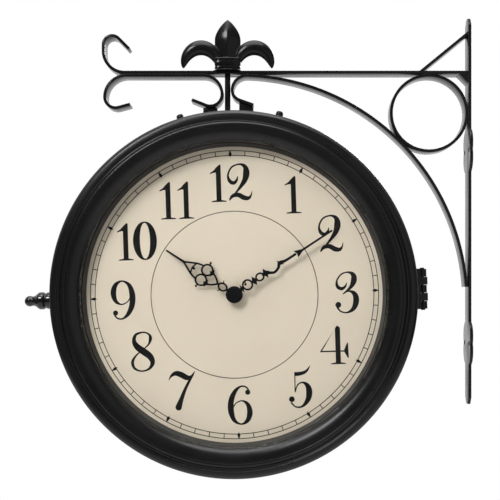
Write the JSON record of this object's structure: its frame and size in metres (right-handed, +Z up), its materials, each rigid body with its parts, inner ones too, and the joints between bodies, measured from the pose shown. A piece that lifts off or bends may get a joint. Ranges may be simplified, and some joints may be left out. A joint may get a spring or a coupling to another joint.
{
  "type": "double sided station clock",
  "caption": "Round double sided wall clock with cream dials and pierced hands, hung in a black strap bracket with scrolls, ring and fleur-de-lis finial.",
  "frame": {"origin": "centre of the four screw holes on the wall face of the wall bar", "axes": "+X into the wall, -Y out of the front dial, +Z up"},
  "size_m": [0.4732, 0.1, 0.4843],
  "materials": {
    "black_strap": "satin black paint",
    "black_casting": "satin black paint on a casting",
    "blackened_steel": "blackened",
    "black_case": "satin black paint",
    "gloss_black_knob": "gloss black",
    "plain_steel": "plated",
    "clear_glass": "clear",
    "reveal_paint": "dark olive grey paint",
    "cream_dial": "cream print on sheet",
    "movement_plastic": "moulded black",
    "battery_jacket": "plain sleeve",
    "brass": "plain turned",
    "black_hand": "black enamel on cut sheet"
  },
  "bodies": {
    "bracket_and_case": {"wall_bar": "black_strap", "top_bar": "black_strap", "twin_scroll_strap": "black_strap", "arc_brace": "black_strap", "bracket_ring": "black_strap", "diagonal_strut": "black_strap", "corner_gusset": "black_strap", "finial_flange": "black_casting", "fleur_finial": "black_casting", "hanger_lugs": "black_strap", "hanger_rod": "blackened_steel", "rod_nut": "blackened_steel", "lug_screws": "blackened_steel", "cap_screws": "blackened_steel", "case_drum": "black_case", "saddle_strap": "plain_steel", "hinge_case_leaf": "black_case", "hinge_pin": "blackened_steel", "latch_stud": "blackened_steel", "rear_bezel": "black_case", "rear_lens": "clear_glass", "rear_reveal_ring": "reveal_paint", "rear_dial": "cream_dial", "rear_dial_clips": "plain_steel", "rear_movement": "movement_plastic", "rear_battery": "battery_jacket", "rear_hand_nut": "brass"},
    "front_door": {"front_bezel": "black_case", "front_lens": "clear_glass", "front_reveal_ring": "reveal_paint", "front_dial": "cream_dial", "front_dial_clips": "plain_steel", "front_movement": "movement_plastic", "front_battery": "battery_jacket", "front_hand_nut": "brass", "hinge_door_leaf": "black_case", "latch_hasp": "black_case"},
    "latch_knob": {"latch_knob": "gloss_black_knob"},
    "front_hour_hand": {"front_hour_hand": "black_hand"},
    "front_minute_hand": {"front_minute_hand": "black_hand"},
    "front_set_wheel": {"front_set_wheel": "movement_plastic"},
    "rear_hour_hand": {"rear_hour_hand": "black_hand"},
    "rear_minute_hand": {"rear_minute_hand": "black_hand"},
    "rear_set_wheel": {"rear_set_wheel": "movement_plastic"}
  },
  "joints": [
    {"name": "door_swing", "type": "hinge", "parent": "bracket_and_case", "child": "front_door", "pos_m": [-0.0533, -0.0202, -0.0448], "axis": [-0.0314, 0, 0.9995], "range_deg": [0, 90]},
    {"name": "latch_turn", "type": "hinge", "parent": "bracket_and_case", "child": "latch_knob", "pos_m": [-0.4505, -0.012, -0.05728], "axis": [-0.9995, 0, -0.0314], "range_deg": [0, 1080]},
    {"name": "front_minute_turn", "type": "hinge", "parent": "front_door", "child": "front_minute_hand", "pos_m": [-0.2506, -0.03, -0.051], "axis": [0, 1, 0], "continuous": true},
    {"name": "front_hour_turn", "type": "hinge", "parent": "front_door", "child": "front_hour_hand", "pos_m": [-0.2506, -0.029, -0.051], "axis": [0, 1, 0], "continuous": true},
    {"name": "front_set_turn", "type": "hinge", "parent": "front_door", "child": "front_set_wheel", "pos_m": [-0.23608, -0.007, -0.03554], "axis": [0, 1, 0], "continuous": true},
    {"name": "rear_minute_turn", "type": "hinge", "parent": "bracket_and_case", "child": "rear_minute_hand", "pos_m": [-0.2506, 0.03, -0.051], "axis": [0, -1, 0], "continuous": true},
    {"name": "rear_hour_turn", "type": "hinge", "parent": "bracket_and_case", "child": "rear_hour_hand", "pos_m": [-0.2506, 0.029, -0.051], "axis": [0, -1, 0], "continuous": true},
    {"name": "rear_set_turn", "type": "hinge", "parent": "bracket_and_case", "child": "rear_set_wheel", "pos_m": [-0.26606, 0.007, -0.03648], "axis": [0, -1, 0], "continuous": true}
  ],
  "couplings": [
    {"joint": "front_hour_turn", "follows": "front_minute_turn", "ratio": 0.083333},
    {"joint": "front_set_turn", "follows": "front_minute_turn", "ratio": -3},
    {"joint": "rear_hour_turn", "follows": "rear_minute_turn", "ratio": 0.083333},
    {"joint": "rear_set_turn", "follows": "rear_minute_turn", "ratio": -3}
  ]
}
